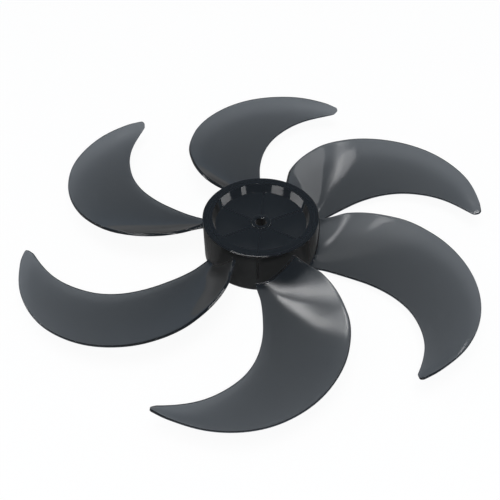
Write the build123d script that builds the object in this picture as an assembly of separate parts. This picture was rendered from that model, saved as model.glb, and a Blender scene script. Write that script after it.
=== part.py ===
from build123d import *
from math import cos, degrees, radians, sin, sqrt, tan
import os

os.makedirs("parts", exist_ok=True)

# Driving dimensions in millimetres and degrees

# Blade set
BLADE_COUNT = 6
ROOT_THICKNESS = 2.4
TIP_THICKNESS = 1.6
TIP_ROUND = 2.8
EDGE_CHAMFER = 0.5

# Trailing edge in plan: radius and angle of the points of one smooth curve
TRAILING_EDGE = [
    (40.0, -53.4),
    (68.0, -47.2),
    (106.0, -52.6),
    (132.5, -60.6),
    (152.0, -68.9),
    (166.3, -77.2),
    (176.0, -86.0),
    (180.0, -96.0),
    (177.7, -106.0),
    (174.5, -112.7),
]

# Leading edge in plan, from root to tip
LEADING_EDGE = [
    (40.0, -93.3),
    (58.4, -87.1),
    (85.4, -85.7),
    (107.5, -87.2),
    (126.5, -90.6),
    (143.1, -95.7),
    (156.0, -101.1),
    (165.6, -106.6),
]

# Blade stations: radius, angle of mid-chord, height of mid-chord above the
# hub's back plane, pitch, half chord, depth of the dish, lift of the fold
# that flattens the leading edge beside the hub
STATIONS = [
    (36.0, -75.2, 14.8, 47.3, 12.5, 1.2, 5.0),
    (55.0, -68.0, 15.3, 34.0, 19.0, 3.2, 2.6),
    (70.0, -66.5, 16.0, 26.0, 23.7, 4.6, 0.8),
    (85.0, -67.1, 16.5, 20.4, 27.7, 5.0, 0.0),
    (100.0, -68.8, 16.4, 16.7, 30.8, 4.4, 0.0),
    (115.0, -71.6, 16.2, 13.6, 33.4, 3.7, 0.0),
    (130.0, -75.6, 16.2, 10.6, 36.0, 3.0, 0.0),
    (145.0, -81.0, 16.5, 7.6, 38.8, 2.2, 0.0),
    (160.0, -88.2, 17.0, 4.7, 42.0, 1.5, 0.0),
    (172.0, -96.0, 18.2, 2.2, 43.0, 0.9, 0.0),
    (184.0, -104.0, 19.8, 0.5, 43.0, 0.5, 0.0),
]
FOLD_START = -0.35

# Upturned outer edge of the tip: its lift, and the radii and angles over which it grows
TIP_CURL = 2.8
TIP_CURL_RADII = (168.0, 178.0)
TIP_CURL_ANGLES = (-84.0, -112.0)

# Hub cup
HUB_RADIUS = 43.8
HUB_HEIGHT = 35.5
WALL = 3.0
RIM_CHAMFER = 0.8
RECESS_TOP_RADIUS = 36.2
RECESS_FLOOR_RADIUS = 34.8
RECESS_DEPTH = 7.2
FLOOR_THICKNESS = 3.2

# Shaft boss, with the slot for the drive pin across its back end
SHAFT_DIAMETER = 8.0
SHAFT_CLEARANCE = 0.1
BOSS_RADIUS = 8.5
BOSS_BACK_HEIGHT = 5.0
COLLAR_RADIUS = 7.6
COLLAR_HEIGHT = 1.0
BORE_CHAMFER = 0.8
PIN_DIAMETER = 4.0
PIN_CLEARANCE = 0.15
PIN_SLOT_DEPTH = 6.5
PIN_SLOT_LENGTH = 26.0

# Radial ribs behind the recess floor
RIB_COUNT = 6
RIB_FIRST_ANGLE = 30.0
RIB_THICKNESS = 1.8
RIB_BACK_HEIGHT = 10.5

# How deep ribs, boss, collar and blades run into the wall or floor that they join
JOIN_DEPTH = 1.5

# Sizes that follow from those above
FLOOR_HEIGHT = HUB_HEIGHT - RECESS_DEPTH
FLOOR_BACK = FLOOR_HEIGHT - FLOOR_THICKNESS
BORE_RADIUS = SHAFT_DIAMETER / 2 + SHAFT_CLEARANCE
PIN_SLOT_WIDTH = PIN_DIAMETER + 2 * PIN_CLEARANCE
WALL_INSIDE = HUB_RADIUS - WALL
ROOT_RADIUS = HUB_RADIUS - JOIN_DEPTH
RIM_BACK = HUB_HEIGHT - WALL

# Space that holds a blade, and length of a cut that passes right through the hub
BLADE_BOX_BOTTOM = -10.0
BLADE_BOX_HEIGHT = 56.0
CUT_LENGTH = 150.0

# Points measured on each skin of a blade, how far past the chord they reach, how closely
# the skin follows them, and the step over which its slope is taken
SKIN_ROWS = 24
SKIN_COLUMNS = 18
SKIN_REACH = 1.3
SKIN_TOLERANCE = 0.02
SLOPE_STEP = 0.5


def polar(radius, angle, height=0.0):
    """Point at a radius and an angle about the shaft axis."""
    return Vector(radius * cos(radians(angle)), radius * sin(radians(angle)), height)


def station(radius):
    """Station values at any radius, on a smooth curve through the listed ones."""
    low = 0
    while low < len(STATIONS) - 2 and radius > STATIONS[low + 1][0]:
        low += 1
    near, far = STATIONS[low], STATIONS[low + 1]
    span = far[0] - near[0]
    t = (radius - near[0]) / span
    values = []
    for column in range(1, len(near)):
        slopes = []
        for here in (low, low + 1):
            before = STATIONS[max(here - 1, 0)]
            after = STATIONS[min(here + 1, len(STATIONS) - 1)]
            slopes.append((after[column] - before[column]) / (after[0] - before[0]))
        value = (2 * t**3 - 3 * t**2 + 1) * near[column]
        value += (3 * t**2 - 2 * t**3) * far[column]
        value += span * (t**3 - 2 * t**2 + t) * slopes[0]
        value += span * (t**3 - t**2) * slopes[1]
        values.append(value)
    return values


def ease(value, limits):
    """Smooth step from 0 at the first limit to 1 at the second."""
    t = min(max((value - limits[0]) / (limits[1] - limits[0]), 0.0), 1.0)
    return t * t * (3 - 2 * t)


def skin_height(radius, arc):
    """Height of the blade's middle skin at a distance along the arc from mid-chord."""
    middle, height, pitch, half_chord, dish, fold = station(radius)
    share = arc / half_chord
    folded = max(0.0, FOLD_START - share) / (1 + FOLD_START)
    lift = dish * (share**2 - 1) + fold * min(folded**1.5, folded)
    angle = middle + degrees(arc / radius)
    lift += TIP_CURL * ease(radius, TIP_CURL_RADII) * ease(angle, TIP_CURL_ANGLES)
    return height + arc * tan(radians(pitch)) + lift


def skin_point(radius, share, side):
    """Point of the front (side 1) or back (side -1) skin of a blade."""
    angle, _, _, half_chord, _, _ = station(radius)
    arc = share * half_chord
    rise = skin_height(radius, arc + SLOPE_STEP) - skin_height(radius, arc - SLOPE_STEP)
    lean = sqrt(1 + (rise / (2 * SLOPE_STEP)) ** 2)
    taper = (radius - HUB_RADIUS) / (STATIONS[-1][0] - HUB_RADIUS)
    thickness = ROOT_THICKNESS + (TIP_THICKNESS - ROOT_THICKNESS) * taper
    height = skin_height(radius, arc) + side * thickness / 2 * lean
    return polar(radius, angle + degrees(arc / radius), height)


def skin(side):
    """One skin of a blade, running a little past the outline all round."""
    first, last = STATIONS[0][0] + 1, STATIONS[-1][0]
    rows = []
    for i in range(SKIN_ROWS):
        radius = first + (last - first) * i / (SKIN_ROWS - 1)
        shares = [SKIN_REACH * (2 * j / (SKIN_COLUMNS - 1) - 1) for j in range(SKIN_COLUMNS)]
        rows.append([skin_point(radius, share, side) for share in shares])
    return Face.make_surface_from_array_of_points(rows, tol=SKIN_TOLERANCE, min_deg=3, max_deg=5)


# Blade: the plan outline carried through the space between two twisted skins
trailing_points = [polar(r, a) for r, a in TRAILING_EDGE]
leading_points = [polar(r, a) for r, a in LEADING_EDGE]
root_angle = (TRAILING_EDGE[0][1] + LEADING_EDGE[0][1]) / 2
trailing = Spline(*trailing_points)
leading = Spline(*leading_points, trailing_points[-1])
root = ThreePointArc(leading_points[0], polar(TRAILING_EDGE[0][0], root_angle), trailing_points[0])
outline = make_face([trailing, leading, root])
prism = extrude(outline, BLADE_BOX_HEIGHT, dir=(0, 0, 1))
prism = prism.moved(Location((0, 0, BLADE_BOX_BOTTOM)))
tip_edges = prism.edges().filter_by(Axis.Z).sort_by_distance(trailing_points[-1])
prism = fillet(tip_edges[:1], TIP_ROUND)
under_front = Solid.extrude(skin(1), Vector(0, 0, -BLADE_BOX_HEIGHT))
over_back = Solid.extrude(skin(-1), Vector(0, 0, BLADE_BOX_HEIGHT))
blade = prism & under_front & over_back

# Broken blade edges: every edge of both skins that lies outside the hub
rim_edges = []
for face in blade.faces().sort_by(SortBy.AREA)[-2:]:
    for edge in face.edges():
        middle = edge.center()
        if Vector(middle.X, middle.Y, 0).length > HUB_RADIUS:
            rim_edges.append(edge)
blade = chamfer(rim_edges, EDGE_CHAMFER)
blade = blade - Cylinder(ROOT_RADIUS, CUT_LENGTH)

# Hub: a cup with a flat rim, a drafted recess in front and an open back
profile = Polyline(
    (WALL_INSIDE, 0),
    (HUB_RADIUS, 0),
    (HUB_RADIUS, HUB_HEIGHT),
    (RECESS_TOP_RADIUS, HUB_HEIGHT),
    (RECESS_FLOOR_RADIUS, FLOOR_HEIGHT),
    (0, FLOOR_HEIGHT),
    (0, FLOOR_BACK),
    (RECESS_FLOOR_RADIUS + WALL, FLOOR_BACK),
    (RECESS_TOP_RADIUS + WALL, RIM_BACK),
    (WALL_INSIDE, RIM_BACK),
    close=True,
)
hub = revolve(Plane.XZ * make_face(profile), Axis.Z)
rim_circles = hub.edges().filter_by(GeomType.CIRCLE).filter_by_position(Axis.Z, HUB_HEIGHT, HUB_HEIGHT)
hub = chamfer(rim_circles, RIM_CHAMFER)

# Ribs: six plates behind the floor, from the boss out to the wall
rib_length = WALL_INSIDE + JOIN_DEPTH
for i in range(RIB_COUNT):
    rib_outline = Polyline(
        (0, RIB_BACK_HEIGHT),
        (rib_length, RIB_BACK_HEIGHT),
        (rib_length, RIM_BACK + JOIN_DEPTH),
        (RECESS_TOP_RADIUS + JOIN_DEPTH, RIM_BACK + JOIN_DEPTH),
        (RECESS_FLOOR_RADIUS + JOIN_DEPTH, FLOOR_BACK + JOIN_DEPTH),
        (0, FLOOR_BACK + JOIN_DEPTH),
        close=True,
    )
    rib = extrude(Plane.XZ * make_face(rib_outline), RIB_THICKNESS / 2, both=True)
    hub += rib.rotate(Axis.Z, RIB_FIRST_ANGLE + i * 360.0 / RIB_COUNT)

# Boss: a sleeve for the shaft with a low collar round the bore in front
boss_height = FLOOR_BACK + JOIN_DEPTH - BOSS_BACK_HEIGHT
boss = Cylinder(BOSS_RADIUS, boss_height, align=(Align.CENTER, Align.CENTER, Align.MIN))
hub += boss.moved(Location((0, 0, BOSS_BACK_HEIGHT)))
collar_length = COLLAR_HEIGHT + JOIN_DEPTH
collar = Cylinder(COLLAR_RADIUS, collar_length, align=(Align.CENTER, Align.CENTER, Align.MAX))
hub += collar.moved(Location((0, 0, FLOOR_HEIGHT + COLLAR_HEIGHT)))

# Whole moulding: hub and blades in one, then the bore with its countersunk front mouth
# and the slot for the pin
fan = hub
for i in range(BLADE_COUNT):
    fan += blade.rotate(Axis.Z, i * 360.0 / BLADE_COUNT)
bore = Cylinder(BORE_RADIUS, CUT_LENGTH)
mouth = Cone(
    BORE_RADIUS,
    BORE_RADIUS + BORE_CHAMFER,
    BORE_CHAMFER,
    align=(Align.CENTER, Align.CENTER, Align.MAX),
)
slot = Box(
    PIN_SLOT_LENGTH,
    PIN_SLOT_WIDTH,
    PIN_SLOT_DEPTH,
    align=(Align.CENTER, Align.CENTER, Align.MIN),
)
fan = fan - bore - mouth.moved(Location((0, 0, FLOOR_HEIGHT + COLLAR_HEIGHT)))
fan = fan - slot.moved(Location((0, 0, BOSS_BACK_HEIGHT)))
fan = Solid(fan.solids()[0].wrapped)
fan.label = "fan_blade"
export_step(fan, "parts/fan_blade.step")
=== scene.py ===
from math import atan2, cos, degrees, e, hypot, pi, radians, sin, sqrt, tan

import bmesh
import bpy
from mathutils import Matrix, Vector


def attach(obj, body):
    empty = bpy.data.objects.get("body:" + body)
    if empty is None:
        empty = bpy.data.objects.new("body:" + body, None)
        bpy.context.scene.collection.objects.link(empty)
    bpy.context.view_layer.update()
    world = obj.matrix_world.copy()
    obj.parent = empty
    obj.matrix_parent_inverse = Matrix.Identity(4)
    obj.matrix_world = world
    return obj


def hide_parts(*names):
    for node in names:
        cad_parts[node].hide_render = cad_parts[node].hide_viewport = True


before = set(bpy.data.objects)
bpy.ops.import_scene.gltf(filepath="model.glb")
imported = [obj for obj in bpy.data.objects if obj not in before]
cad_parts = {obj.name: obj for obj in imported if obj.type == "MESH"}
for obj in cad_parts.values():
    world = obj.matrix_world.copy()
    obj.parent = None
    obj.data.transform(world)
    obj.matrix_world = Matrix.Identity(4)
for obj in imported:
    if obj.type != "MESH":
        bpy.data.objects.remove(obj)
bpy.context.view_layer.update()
scene = bpy.context.scene
scene.view_settings.view_transform = "Standard"

# Hub
# The middle of the moulding: a cup of smoke plastic, open at the back, with a bevelled front
# rim, a shallow recess in front and a sleeve that slides on the motor shaft.
MM = 0.001
HUB_RADIUS = 43.8
HUB_HEIGHT = 35.5
WALL = 3.0
RECESS_TOP_RADIUS = 36.4
RECESS_FLOOR_RADIUS = 34.4
RECESS_DEPTH = 7.2
FLOOR_THICKNESS = 3.2
BORE_RADIUS = 4.1
BORE_CHAMFER = 0.8
BOSS_RADIUS = 8.5
BOSS_BACK = 5.0
COLLAR_RADIUS = 7.6
COLLAR_HEIGHT = 1.0
RIM_CHAMFER = 0.6
RECESS_LIP_ROUND = 0.3
RECESS_CORNER_ROUND = 0.3
COLLAR_ROUND = 0.9
BACK_EDGE_ROUND = 0.4
ROUND_STEPS = 4
ROUND_PROFILE = 0.5
HUB_TURN_STEPS = 180
FLOOR_HEIGHT = HUB_HEIGHT - RECESS_DEPTH
FLOOR_BACK = FLOOR_HEIGHT - FLOOR_THICKNESS
COLLAR_TOP = FLOOR_HEIGHT + COLLAR_HEIGHT
WALL_INSIDE = HUB_RADIUS - WALL
RIM_BACK = HUB_HEIGHT - WALL
SAME_PLACE = 0.01


def turned(outline, steps):
    """Solid of revolution about the shaft axis, from a closed outline of (radius, height)."""
    bm = bmesh.new()
    corners = [bm.verts.new((r * MM, 0, z * MM)) for r, z in outline]
    rim = [bm.edges.new((a, b)) for a, b in zip(corners, corners[1:] + corners[:1])]
    bmesh.ops.spin(
        bm, geom=corners + rim, axis=(0, 0, 1), cent=(0, 0, 0),
        angle=2 * pi, steps=steps, use_merge=True,
    )
    bmesh.ops.remove_doubles(bm, verts=bm.verts, dist=SAME_PLACE * MM)
    bmesh.ops.recalc_face_normals(bm, faces=bm.faces)
    return bm


def round_ring(bm, radius, height, size, steps=ROUND_STEPS):
    """Rounds the circular edge at a radius and a height, or bevels it flat in one step."""
    ring = []
    for edge in bm.edges:
        misses = [
            max(abs(hypot(v.co.x, v.co.y) / MM - radius), abs(v.co.z / MM - height))
            for v in edge.verts
        ]
        if max(misses) < SAME_PLACE:
            ring.append(edge)
    bmesh.ops.bevel(
        bm, geom=ring, offset=size * MM, offset_type="OFFSET", affect="EDGES",
        segments=steps, profile=ROUND_PROFILE, material=-1, clamp_overlap=True,
    )


def as_object(bm, name):
    """Puts a finished bmesh into the scene."""
    mesh = bpy.data.meshes.new(name)
    bm.to_mesh(mesh)
    bm.free()
    piece = bpy.data.objects.new(name, mesh)
    scene.collection.objects.link(piece)
    return piece


hub_mesh = turned(
    [
        (WALL_INSIDE, 0),
        (HUB_RADIUS, 0),
        (HUB_RADIUS, HUB_HEIGHT / 2),
        (HUB_RADIUS, HUB_HEIGHT),
        (RECESS_TOP_RADIUS, HUB_HEIGHT),
        (RECESS_FLOOR_RADIUS, FLOOR_HEIGHT),
        ((RECESS_FLOOR_RADIUS + COLLAR_RADIUS) / 2, FLOOR_HEIGHT),
        (COLLAR_RADIUS, FLOOR_HEIGHT),
        (COLLAR_RADIUS, COLLAR_TOP),
        (BORE_RADIUS + BORE_CHAMFER, COLLAR_TOP),
        (BORE_RADIUS, COLLAR_TOP - BORE_CHAMFER),
        (BORE_RADIUS, BOSS_BACK),
        (BOSS_RADIUS, BOSS_BACK),
        (BOSS_RADIUS, FLOOR_BACK),
        (RECESS_FLOOR_RADIUS + WALL, FLOOR_BACK),
        (RECESS_TOP_RADIUS + WALL, RIM_BACK),
        (WALL_INSIDE, RIM_BACK),
    ],
    HUB_TURN_STEPS,
)
round_ring(hub_mesh, HUB_RADIUS, HUB_HEIGHT, RIM_CHAMFER, 1)
round_ring(hub_mesh, RECESS_TOP_RADIUS, HUB_HEIGHT, RECESS_LIP_ROUND)
round_ring(hub_mesh, RECESS_FLOOR_RADIUS, FLOOR_HEIGHT, RECESS_CORNER_ROUND)
round_ring(hub_mesh, COLLAR_RADIUS, COLLAR_TOP, COLLAR_ROUND)
round_ring(hub_mesh, HUB_RADIUS, 0, BACK_EDGE_ROUND)
fan = as_object(hub_mesh, "fan_moulding")

# Drive-pin slot
# A groove across the back end of the shaft sleeve. The cross pin of the motor shaft
# seats in it and turns the hub.
PIN_SLOT_LENGTH = 3 * BOSS_RADIUS
PIN_SLOT_WIDTH = 4.3
PIN_SLOT_DEPTH = 6.5
SLOT_RUN_OUT = 2.0


def merge(piece, tool, operation):
    """Joins a tool body to a piece, or cuts it out, and removes the tool."""
    change = piece.modifiers.new(operation.lower(), "BOOLEAN")
    change.operation = operation
    change.solver = "EXACT"
    change.object = tool
    shaped = bpy.data.meshes.new_from_object(
        piece.evaluated_get(bpy.context.evaluated_depsgraph_get())
    )
    piece.modifiers.clear()
    piece.data = shaped
    bpy.data.objects.remove(tool)


slot_mesh = bmesh.new()
bmesh.ops.create_cube(slot_mesh, size=1)
slot_size = Vector((PIN_SLOT_LENGTH, PIN_SLOT_WIDTH, PIN_SLOT_DEPTH + SLOT_RUN_OUT)) * MM
bmesh.ops.scale(slot_mesh, vec=slot_size, verts=slot_mesh.verts)
slot_middle = BOSS_BACK + (PIN_SLOT_DEPTH - SLOT_RUN_OUT) / 2
bmesh.ops.translate(slot_mesh, vec=(0, 0, slot_middle * MM), verts=slot_mesh.verts)
merge(fan, as_object(slot_mesh, "pin_slot"), "DIFFERENCE")

# Ribs
# Six thin plates moulded behind the recess floor, from the sleeve out to the wall. They
# show through the smoke-coloured plastic as dark lines.
RIB_COUNT = 6
RIB_FIRST_ANGLE = 30
RIB_THICKNESS = 1.8
RIB_BACK = 10.5
RIB_OVERLAP = 1.5
rib_inner = BOSS_RADIUS - RIB_OVERLAP
rib_outer = WALL_INSIDE + RIB_OVERLAP


def ring_of(bm, count):
    """Copies everything in a bmesh round the shaft axis, to make an even ring."""
    bmesh.ops.spin(
        bm, geom=bm.verts[:] + bm.edges[:] + bm.faces[:], axis=(0, 0, 1), cent=(0, 0, 0),
        angle=2 * pi * (count - 1) / count, steps=count - 1, use_duplicate=True,
    )
    bmesh.ops.recalc_face_normals(bm, faces=bm.faces)


rib_mesh = bmesh.new()
rib_outline = [
    (rib_inner, RIB_BACK),
    (rib_outer, RIB_BACK),
    (rib_outer, RIM_BACK + RIB_OVERLAP),
    (RECESS_TOP_RADIUS + RIB_OVERLAP, RIM_BACK + RIB_OVERLAP),
    (RECESS_FLOOR_RADIUS + RIB_OVERLAP, FLOOR_BACK + RIB_OVERLAP),
    (rib_inner, FLOOR_BACK + RIB_OVERLAP),
]
rib_face = rib_mesh.faces.new(
    [rib_mesh.verts.new((r * MM, -RIB_THICKNESS / 2 * MM, z * MM)) for r, z in rib_outline]
)
grown = bmesh.ops.extrude_face_region(rib_mesh, geom=[rib_face])["geom"]
far_side = [part for part in grown if isinstance(part, bmesh.types.BMVert)]
bmesh.ops.translate(rib_mesh, vec=(0, RIB_THICKNESS * MM, 0), verts=far_side)
bmesh.ops.rotate(
    rib_mesh, cent=(0, 0, 0), matrix=Matrix.Rotation(radians(RIB_FIRST_ANGLE), 3, "Z"),
    verts=rib_mesh.verts,
)
ring_of(rib_mesh, RIB_COUNT)
merge(fan, as_object(rib_mesh, "ribs"), "UNION")

# Blades
# Six sickle blades moulded on the hub's wall. Each is a thin dished skin, steep at the root
# and nearly flat at the tip, with rounded edges, a fillet at the wall and an upturned tip.
BLADE_COUNT = 6
ROOT_THICKNESS = 2.4
TIP_THICKNESS = 1.6
ROOT_FILLET = 0.8
EDGE_ROUND = 0.6
FOLD_START = -0.35

# Round end of the tip: its bulge as a share of the tip's width, and how late it grows
TIP_ROUND = 0.68
TIP_SHARPNESS = 24

# Upturned outer edge of the tip: its lift, and the radii and angles over which it grows
TIP_CURL = 2.8
TIP_CURL_RADII = (168.0, 178.0)
TIP_CURL_ANGLES = (-84.0, -112.0)

# Steps of a blade's mesh, which crowd toward the root, how it is smoothed, and the turn
# from which one of its edges is rounded
SPAN_STEPS = 84
SPAN_CROWDING = 1.4
CHORD_STEPS = 30
SMOOTHING_PASSES = 16
SMOOTHING_STRENGTH = 0.5
EDGE_TURN = 60
PLACE_DIGITS = 8

# Radius and angle of points along the two edges, seen from the front
BLADE_ROOT = 43.2
TRAILING_EDGE = [
    (BLADE_ROOT, -52.1),
    (68.0, -47.2),
    (106.0, -52.6),
    (132.5, -60.6),
    (152.0, -68.9),
    (166.3, -77.2),
    (176.0, -86.0),
    (180.0, -96.0),
    (177.9, -105.5),
    (175.6, -109.4),
]
LEADING_EDGE = [
    (BLADE_ROOT, -92.2),
    (58.4, -87.1),
    (85.4, -85.7),
    (107.5, -87.2),
    (126.5, -90.6),
    (143.1, -95.7),
    (156.0, -101.1),
    (169.6, -109.2),
]

# Radius, angle and height of mid-chord, pitch, half chord, dish and fold of each station
STATIONS = [
    (36.0, -75.2, 14.8, 47.3, 12.5, 1.2, 5.0),
    (55.0, -68.0, 15.3, 34.0, 19.0, 3.2, 2.6),
    (70.0, -66.5, 16.0, 26.0, 23.7, 4.6, 0.8),
    (85.0, -67.1, 16.5, 20.4, 27.7, 5.0, 0.0),
    (100.0, -68.8, 16.4, 16.7, 30.8, 4.4, 0.0),
    (115.0, -71.6, 16.2, 13.6, 33.4, 3.7, 0.0),
    (130.0, -75.6, 16.2, 10.6, 36.0, 3.0, 0.0),
    (145.0, -81.0, 16.5, 7.6, 38.8, 2.2, 0.0),
    (160.0, -88.2, 17.0, 4.7, 42.0, 1.5, 0.0),
    (172.0, -96.0, 18.2, 2.2, 43.0, 0.9, 0.0),
    (184.0, -104.0, 19.8, 0.5, 43.0, 0.5, 0.0),
]


def smooth_row(rows, place):
    """Row at any value of the first column, on a smooth curve through the listed rows."""
    low = 0
    while low < len(rows) - 2 and place > rows[low + 1][0]:
        low += 1
    near, far = rows[low], rows[low + 1]
    span = far[0] - near[0]
    t = (place - near[0]) / span
    values = []
    for column in range(1, len(near)):
        slopes = []
        for here in (low, low + 1):
            before, after = rows[max(here - 1, 0)], rows[min(here + 1, len(rows) - 1)]
            slopes.append((after[column] - before[column]) / (after[0] - before[0]))
        value = (2 * t**3 - 3 * t**2 + 1) * near[column] + (3 * t**2 - 2 * t**3) * far[column]
        value += span * ((t**3 - 2 * t**2 + t) * slopes[0] + (t**3 - t**2) * slopes[1])
        values.append(value)
    return values


def edge_curve(points):
    """Edge points as rows of (share of the length, radius, angle)."""
    lengths = [0.0]
    for (r0, a0), (r1, a1) in zip(points, points[1:]):
        lengths.append(lengths[-1] + hypot(r1 - r0, radians(a1 - a0) * (r0 + r1) / 2))
    return [(length / lengths[-1], r, a) for length, (r, a) in zip(lengths, points)]


def ease(value, limits):
    """Smooth step from 0 at the first limit to 1 at the second."""
    t = min(max((value - limits[0]) / (limits[1] - limits[0]), 0.0), 1.0)
    return t * t * (3 - 2 * t)


def skin_height(radius, angle):
    """Height of a blade's middle skin at a radius and an angle of its plan."""
    middle, height, pitch, half_chord, dish, fold = smooth_row(STATIONS, radius)
    arc = radius * radians(angle - middle)
    share = arc / half_chord
    folded = max(0.0, FOLD_START - share) / (1 + FOLD_START)
    lift = dish * (share**2 - 1) + fold * min(folded**1.5, folded)
    lift += TIP_CURL * ease(radius, TIP_CURL_RADII) * ease(angle, TIP_CURL_ANGLES)
    return height + arc * tan(radians(pitch)) + lift


def half_thickness(radius):
    """Half of a blade's thickness, with the fillet that flares it at the hub's wall."""
    taper = (radius - HUB_RADIUS) / (STATIONS[-1][0] - HUB_RADIUS)
    plain = (ROOT_THICKNESS + (TIP_THICKNESS - ROOT_THICKNESS) * taper) / 2
    left = min(max(ROOT_FILLET - (radius - HUB_RADIUS), 0.0), ROOT_FILLET)
    return plain + ROOT_FILLET - sqrt(ROOT_FILLET**2 - left**2)


def plan_point(radius, angle):
    """Point in plan at a radius and an angle about the shaft axis."""
    return Vector((radius * cos(radians(angle)), radius * sin(radians(angle))))


trailing_curve = edge_curve(TRAILING_EDGE)
leading_curve = edge_curve(LEADING_EDGE)
tip_across = plan_point(*TRAILING_EDGE[-1]) - plan_point(*LEADING_EDGE[-1])
trailing_end = (plan_point(*TRAILING_EDGE[-1]) - plan_point(*TRAILING_EDGE[-2])).normalized()
leading_end = (plan_point(*LEADING_EDGE[-1]) - plan_point(*LEADING_EDGE[-2])).normalized()

blade_mesh = bmesh.new()
bmesh.ops.create_grid(blade_mesh, x_segments=SPAN_STEPS, y_segments=CHORD_STEPS, size=0.5)
for vert in blade_mesh.verts:
    along = min(max(vert.co.x + 0.5, 0.0), 1.0) ** SPAN_CROWDING
    across = min(max(vert.co.y + 0.5, 0.0), 1.0)
    lead_radius, lead_angle = smooth_row(leading_curve, along)
    trail_radius, trail_angle = smooth_row(trailing_curve, along)
    radius = lead_radius + (trail_radius - lead_radius) * across
    angle = lead_angle + (trail_angle - lead_angle) * across
    bulge = TIP_ROUND * tip_across.length * sqrt(across * (1 - across)) * along**TIP_SHARPNESS
    spot = plan_point(radius, angle) + leading_end.lerp(trailing_end, across).normalized() * bulge
    height = skin_height(spot.length, degrees(atan2(spot.y, spot.x)))
    vert.co = Vector((spot.x, spot.y, height)) * MM
inner_verts = [vert for vert in blade_mesh.verts if not vert.is_boundary]
for _ in range(SMOOTHING_PASSES):
    bmesh.ops.smooth_vert(blade_mesh, verts=inner_verts, factor=SMOOTHING_STRENGTH, use_axis_z=True)
bmesh.ops.recalc_face_normals(blade_mesh, faces=blade_mesh.faces)
blade_mesh.normal_update()
facing = {vert.co.to_tuple(PLACE_DIGITS): vert.normal.copy() for vert in blade_mesh.verts}
front_verts = blade_mesh.verts[:]
grown = bmesh.ops.extrude_face_region(
    blade_mesh, geom=blade_mesh.faces[:], use_keep_orig=True
)["geom"]
back_verts = [part for part in grown if isinstance(part, bmesh.types.BMVert)]
for verts, side in ((front_verts, 1), (back_verts, -1)):
    for vert in verts:
        offset = half_thickness(hypot(vert.co.x, vert.co.y) / MM)
        vert.co += facing[vert.co.to_tuple(PLACE_DIGITS)] * side * offset * MM
bmesh.ops.recalc_face_normals(blade_mesh, faces=blade_mesh.faces)
rim_edges = []
for edge in blade_mesh.edges:
    free = all(hypot(v.co.x, v.co.y) > HUB_RADIUS * MM for v in edge.verts)
    if free and edge.calc_face_angle() > radians(EDGE_TURN):
        rim_edges.append(edge)
bmesh.ops.bevel(
    blade_mesh, geom=rim_edges, offset=EDGE_ROUND * MM, offset_type="OFFSET", affect="EDGES",
    segments=ROUND_STEPS, profile=ROUND_PROFILE, material=-1, clamp_overlap=True,
)
ring_of(blade_mesh, BLADE_COUNT)
merge(fan, as_object(blade_mesh, "blades"), "UNION")

# Moulded skin
# The whole moulding has one smooth skin, which breaks only at its sharp edges. The far wall
# of the recess is shaded as if it leaned out further, so that it mirrors the low lamps.
SMOOTH_ANGLE = 32
RECESS_WALL_LEAN = 32
RECESS_LEAN_ARC = (0.2, 0.4)
WALL_STEEPNESS = 0.5

fan.data.shade_smooth()
fan.data.set_sharp_from_angle(angle=radians(SMOOTH_ANGLE))
normals = [Vector(corner.vector) for corner in fan.data.corner_normals]
draft = degrees(atan2(RECESS_TOP_RADIUS - RECESS_FLOOR_RADIUS, RECESS_DEPTH))
for face in fan.data.polygons:
    middle = Vector(face.center) / MM
    on_wall = RECESS_FLOOR_RADIUS < middle.xy.length < RECESS_TOP_RADIUS
    if on_wall and FLOOR_HEIGHT < middle.z < HUB_HEIGHT and abs(face.normal.z) < WALL_STEEPNESS:
        for loop in face.loop_indices:
            spot = fan.data.vertices[fan.data.loops[loop].vertex_index].co
            inward = Vector((-spot.x, -spot.y, 0)).normalized()
            lean = draft + (RECESS_WALL_LEAN - draft) * ease(-inward.y, RECESS_LEAN_ARC)
            normals[loop] = inward * cos(radians(lean)) + Vector((0, 0, sin(radians(lean))))
fan.data.normals_split_custom_set(normals)

# Smoke plastic
# Hub, ribs and blades are one shot of see-through plastic, dyed smoke grey with a bluish
# bloom. Its polished skin mirrors the lamps, and two millimetres of it let little light by.
SMOKE_INDEX = 1.57
SMOKE_CLEARNESS = 0.997
SMOKE_DYE = (0.51, 0.5, 0.487, 1)
SMOKE_DENSITY = 1700
SMOKE_PALE = (0.81, 0.88, 0.955, 1)
SMOKE_DEEP = (0.77, 0.84, 0.92, 1)

# Roughness of the polished skin, of handling marks on it, and of the skin where light leaves
POLISH = 0.05
HANDLING = 0.06
HAZE = 0.32

# Grain of the colour's flow, of the handling marks and of the skin's slight waves
FLOW_SCALE = 22
FLOW_DETAIL = 2
HANDLING_SCALE = 160
HANDLING_DETAIL = 4
WAVE_SCALE = 45
WAVE_DETAIL = 1
WAVE_DEPTH = 0.00012
WAVE_STRENGTH = 0.12


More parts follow.
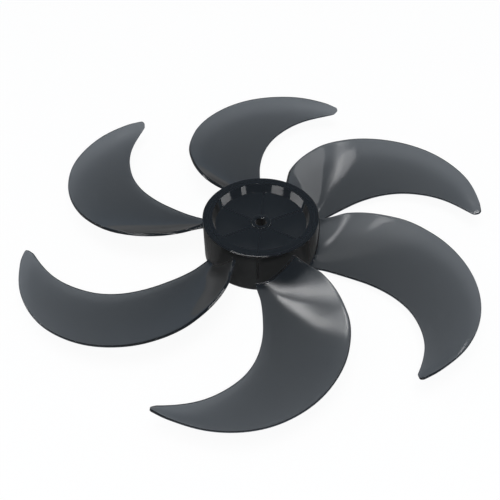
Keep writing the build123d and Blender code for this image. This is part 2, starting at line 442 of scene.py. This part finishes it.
class Wire:
    """A node's socket in arithmetic: an expression adds the Math nodes that it needs."""

    def __init__(self, socket):
        self.socket = socket

    @classmethod
    def node(cls, tree, kind, settings, sockets):
        """Adds a node, sets it up, fills its sockets and gives its outputs by name."""
        made = tree.nodes.new(kind)
        for name, value in settings.items():
            setattr(made, name, value)
        for name, value in sockets.items():
            if isinstance(name, int):
                socket = made.inputs[name]
            else:
                socket = next(s for s in made.inputs if s.enabled and s.name == name)
            if isinstance(value, cls):
                tree.links.new(value.socket, socket)
            else:
                socket.default_value = value
        return {socket.name: cls(socket) for socket in made.outputs if socket.enabled}

    def maths(self, operation, first, second):
        """Adds a Math node of two values, and gives its result."""
        tree = self.socket.id_data
        values = {0: first, 1: second}
        return self.node(tree, "ShaderNodeMath", {"operation": operation}, values)["Value"]

    def __add__(self, other):
        return self.maths("ADD", self, other)

    def __sub__(self, other):
        return self.maths("SUBTRACT", self, other)

    def __rsub__(self, other):
        return self.maths("SUBTRACT", other, self)

    def __mul__(self, other):
        return self.maths("MULTIPLY", self, other)

    def __rpow__(self, other):
        return self.maths("POWER", other, self)

    __radd__ = __add__
    __rmul__ = __mul__


def empty_tree(owner):
    """A material's or world's node tree with nothing in it yet."""
    owner.use_nodes = True
    owner.node_tree.nodes.clear()
    return owner.node_tree


smoke = bpy.data.materials.new("smoke_plastic")
tree = empty_tree(smoke)
place = Wire.node(tree, "ShaderNodeTexCoord", {}, {})["Object"]
flow = Wire.node(
    tree, "ShaderNodeTexNoise", {}, {"Vector": place, "Scale": FLOW_SCALE, "Detail": FLOW_DETAIL}
)["Fac"]
marks = Wire.node(
    tree, "ShaderNodeTexNoise", {},
    {"Vector": place, "Scale": HANDLING_SCALE, "Detail": HANDLING_DETAIL},
)["Fac"]
leaving = Wire.node(tree, "ShaderNodeNewGeometry", {}, {})["Backfacing"]
waves = Wire.node(
    tree, "ShaderNodeTexNoise", {}, {"Vector": place, "Scale": WAVE_SCALE, "Detail": WAVE_DETAIL}
)["Fac"]
body_colour = Wire.node(
    tree, "ShaderNodeMix", {"data_type": "RGBA"},
    {"Factor": flow, "A": SMOKE_PALE, "B": SMOKE_DEEP},
)["Result"]
uneven = Wire.node(
    tree, "ShaderNodeBump", {},
    {"Height": waves, "Distance": WAVE_DEPTH, "Strength": WAVE_STRENGTH},
)["Normal"]
skin = Wire.node(
    tree, "ShaderNodeBsdfPrincipled", {},
    {
        "Base Color": body_colour,
        "Roughness": POLISH + marks * flow * HANDLING + leaving * HAZE,
        "Normal": uneven,
        "IOR": SMOKE_INDEX,
        "Transmission Weight": SMOKE_CLEARNESS,
    },
)["BSDF"]
dye = Wire.node(
    tree, "ShaderNodeVolumeAbsorption", {}, {"Color": SMOKE_DYE, "Density": SMOKE_DENSITY}
)["Volume"]
Wire.node(tree, "ShaderNodeOutputMaterial", {}, {"Surface": skin, "Volume": dye})
fan.data.materials.clear()
fan.data.materials.append(smoke)
# The gloss mirrors the room and the table, and leaves out the other blades
fan.visible_glossy = False
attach(fan, "root")
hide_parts("fan_blade")

# Table
# A wide white table top. Straight on it shows as plain white with a faint shadow of the
# object. Through the plastic it is dimmer, and dimmer still in the mirror of the gloss, and
# near the hub both are darkened further as painted shade.
TABLE_HALF_SIDE = 6
TABLE_PAINT = (0.8, 0.8, 0.8, 1)

# How much of the table shows plain, without shading, how bright that is near the hub and far
# from it, and the radii between which it changes: straight on, through plastic and in gloss.
# Through plastic and in gloss the lower level near the hub is painted shade around the object.
PLAIN_STRAIGHT = (0.94, 1.0, 1.0, 38.0, 50.0)
PLAIN_AND_SHADE_THROUGH = (0.4, 0.45, 0.9, 38.0, 50.0)
PLAIN_AND_SHADE_MIRRORED = (0.9, 0.1, 0.22, 90.0, 300.0)

table_mesh = bmesh.new()
bmesh.ops.create_grid(table_mesh, x_segments=1, y_segments=1, size=TABLE_HALF_SIDE)
table = as_object(table_mesh, "table_top")
white = bpy.data.materials.new("white_table")
tree = empty_tree(white)
place = Wire.node(tree, "ShaderNodeTexCoord", {}, {})["Object"]
reach = Wire.node(tree, "ShaderNodeVectorMath", {"operation": "LENGTH"}, {0: place})["Value"]
rays = Wire.node(tree, "ShaderNodeLightPath", {}, {})
straight = rays["Is Camera Ray"]
through = rays["Is Transmission Ray"]
mirrored = rays["Is Glossy Ray"] * (1 - through)
top = Wire.node(tree, "ShaderNodeBsdfDiffuse", {}, {"Color": TABLE_PAINT})["BSDF"]
for seen, (share, painted_shade_level, far_level, near_radius, far_radius) in (
    (straight, PLAIN_STRAIGHT), (through, PLAIN_AND_SHADE_THROUGH), (mirrored, PLAIN_AND_SHADE_MIRRORED)
):
    # Where the plain glow is lower near the hub, that darkening is painted shade
    clear = Wire.node(
        tree, "ShaderNodeMapRange", {"interpolation_type": "SMOOTHSTEP"},
        {"Value": reach, "From Min": near_radius * MM, "From Max": far_radius * MM},
    )["Result"]
    near = Wire.node(tree, "ShaderNodeEmission", {}, {"Strength": painted_shade_level})["Emission"]
    far = Wire.node(tree, "ShaderNodeEmission", {}, {"Strength": far_level})["Emission"]
    plain = Wire.node(tree, "ShaderNodeMixShader", {}, {0: clear, 1: near, 2: far})["Shader"]
    top = Wire.node(tree, "ShaderNodeMixShader", {}, {0: seen * share, 1: top, 2: plain})["Shader"]
Wire.node(tree, "ShaderNodeOutputMaterial", {}, {"Surface": top})
table.data.materials.append(white)

# Studio
# A dim bluish room with soft bright windows, whose glow lies on the polished blades, a broad
# lamp overhead that lights the table and isn't mirrored, and lamps that show as glints.
ROOM_GREY = 0.24
ROOM_TINT = (0.8, 1.0, 1.25, 1)
ROOM_WHITE = 1.0
WINDOW_COLOUR = (1, 1, 1, 1)

# Azimuth from the front, elevation, spread and brightness of each window's glow
WINDOWS = [
    (-101, 42, 5.5, 4.8),
    (-121, 44, 1.8, 3.6),
    (-125.5, 43.6, 1.8, 4.2),
    (-130, 42.2, 1.8, 4.2),
    (-134, 41, 1.6, 2.8),
    (-127, 40, 5.0, 0.6),
    (130, 60.6, 2.0, 2.4),
    (39.5, 52.5, 2.3, 3.4),
]

# Azimuth, elevation, distance, width, height and brightness of each lamp. The two spots hang
# close above the right-hand blades, so that each gives one small patch in the main view.
LAMPS = [
    ("ceiling", 0, 80, 1.6, 1.0, 1.0, 6.2),
    ("right_spot", 70.4, 63.6, 0.243, 0.03, 0.015, 2.0),
    ("upper_right_spot", 139.7, 44.3, 0.28, 0.014, 0.009, 2.4),
    ("front_strip", -14, 44, 1.6, 2.0, 0.25, 2.2),
    ("right_strip", 122, 33, 1.6, 0.26, 1.0, 1.1),
    ("low_front_right", 43, 21.5, 1.6, 0.28, 0.4, 2.0),
    ("low_front_left", -34.5, 21.5, 1.6, 0.7, 0.4, 2.0),
    ("low_right", 88, 10.5, 1.6, 0.7, 0.4, 2.0),
    ("low_left", -84, 9, 1.6, 1.0, 0.45, 2.0),
]
UNMIRRORED = {"ceiling"}


def toward(azimuth, elevation):
    """Direction at an azimuth, counted from the front to the right, and an elevation."""
    level = cos(radians(elevation))
    across, away = sin(radians(azimuth)), -cos(radians(azimuth))
    return Vector((across * level, away * level, sin(radians(elevation))))


room = bpy.data.worlds.new("studio")
scene.world = room
tree = empty_tree(room)
gaze = Wire.node(tree, "ShaderNodeTexCoord", {}, {})["Generated"]
straight = Wire.node(tree, "ShaderNodeLightPath", {}, {})["Is Camera Ray"]
glow = straight * ROOM_WHITE
for azimuth, elevation, spread, brightness in WINDOWS:
    facing = Wire.node(
        tree, "ShaderNodeVectorMath", {"operation": "DOT_PRODUCT"},
        {0: gaze, 1: toward(azimuth, elevation)},
    )["Value"]
    glow = glow + (1 - straight) * brightness * e ** ((facing - 1) * radians(spread) ** -2)
walls = Wire.node(
    tree, "ShaderNodeBackground", {},
    {"Strength": (1 - straight) * ROOM_GREY, "Color": ROOM_TINT},
)["Background"]
windows = Wire.node(
    tree, "ShaderNodeBackground", {}, {"Strength": glow, "Color": WINDOW_COLOUR}
)["Background"]
both = Wire.node(tree, "ShaderNodeAddShader", {}, {0: walls, 1: windows})["Shader"]
Wire.node(tree, "ShaderNodeOutputWorld", {}, {"Surface": both})

for name, azimuth, elevation, distance, width, height, brightness in LAMPS:
    lamp = bpy.data.lights.new(name, "AREA")
    lamp.shape = "RECTANGLE"
    lamp.size = width
    lamp.size_y = height
    lamp.energy = brightness * pi * width * height
    stand = bpy.data.objects.new(name, lamp)
    stand.location = toward(azimuth, elevation) * distance
    stand.rotation_mode = "QUATERNION"
    stand.rotation_quaternion = stand.location.to_track_quat("Z", "Y")
    stand.visible_glossy = name not in UNMIRRORED
    stand.visible_camera = False
    scene.collection.objects.link(stand)

# Camera
# It stands in front of the hub and above it, as the photograph's did, and looks down at it.
# The shift of its lens sets the object's place in the frame.
CAMERA_PLACE = (30.5, -447.9, 444.7)
CAMERA_ELEVATION = 44.8
CAMERA_ROLL = 2.14
CAMERA_LENS = 58.07
CAMERA_SENSOR = 36
CAMERA_SHIFT = (-0.1005, 0.0005)
CAMERA_NEAR = 0.01

camera = bpy.data.cameras.new("camera")
camera.lens = CAMERA_LENS
camera.sensor_width = CAMERA_SENSOR
camera.shift_x, camera.shift_y = CAMERA_SHIFT
camera.clip_start = CAMERA_NEAR
viewer = bpy.data.objects.new("camera", camera)
tilt = Matrix.Rotation(radians(90 - CAMERA_ELEVATION), 4, "X")
roll = Matrix.Rotation(radians(CAMERA_ROLL), 4, "Z")
viewer.matrix_world = Matrix.Translation(Vector(CAMERA_PLACE) * MM) @ tilt @ roll
scene.collection.objects.link(viewer)
scene.camera = viewer
